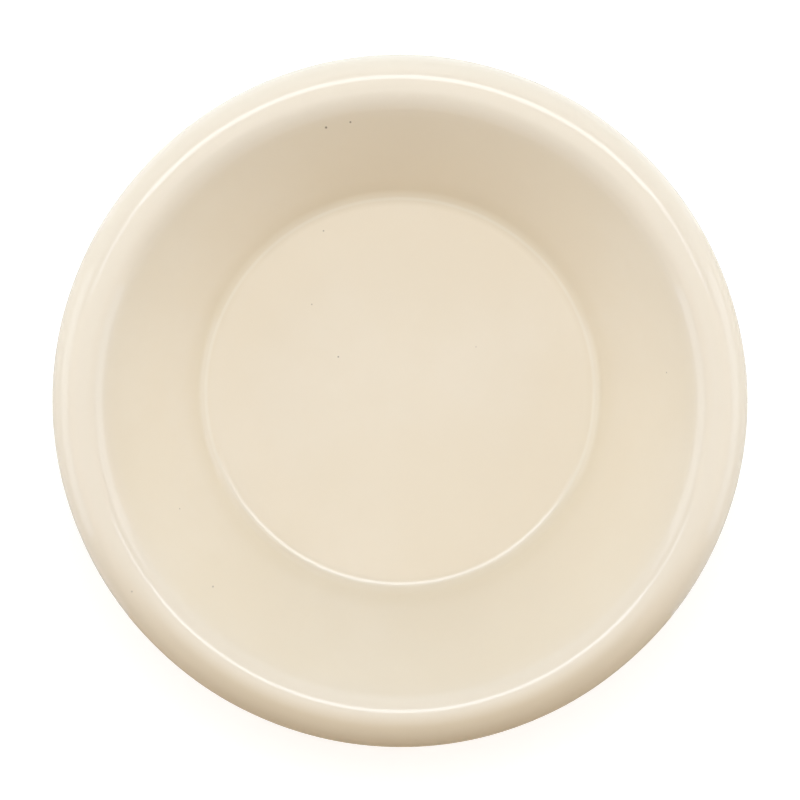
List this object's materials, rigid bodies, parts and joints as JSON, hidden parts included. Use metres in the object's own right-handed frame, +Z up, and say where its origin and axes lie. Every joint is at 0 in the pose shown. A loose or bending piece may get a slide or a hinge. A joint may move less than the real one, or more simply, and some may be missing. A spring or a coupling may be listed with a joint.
{
  "type": "evaporating dish",
  "caption": "Shallow round flat-bottomed dish with a straight sloping wall, a heavy rolled rim and a low foot ring, in cream glazed ceramic, for drying and mixing samples.",
  "frame": {"origin": "centre of the foot's contact plane, which is also the lowest point of the dish on its axis", "axes": "+Z up along the dish's axis, out of its mouth; the dish is a solid of revolution, so +X and +Y are any two square directions across it"},
  "size_m": [0.115, 0.115, 0.032],
  "materials": {
    "fired_body": "matte, bare fired ceramic, wiped clean of glaze on the foot",
    "cream_glaze": "clear glossy cream glaze"
  },
  "bodies": {
    "root": {"dish_body": "fired_body", "glaze_coat": "cream_glaze", "foot_well_glaze": "cream_glaze"}
  },
  "joints": []
}
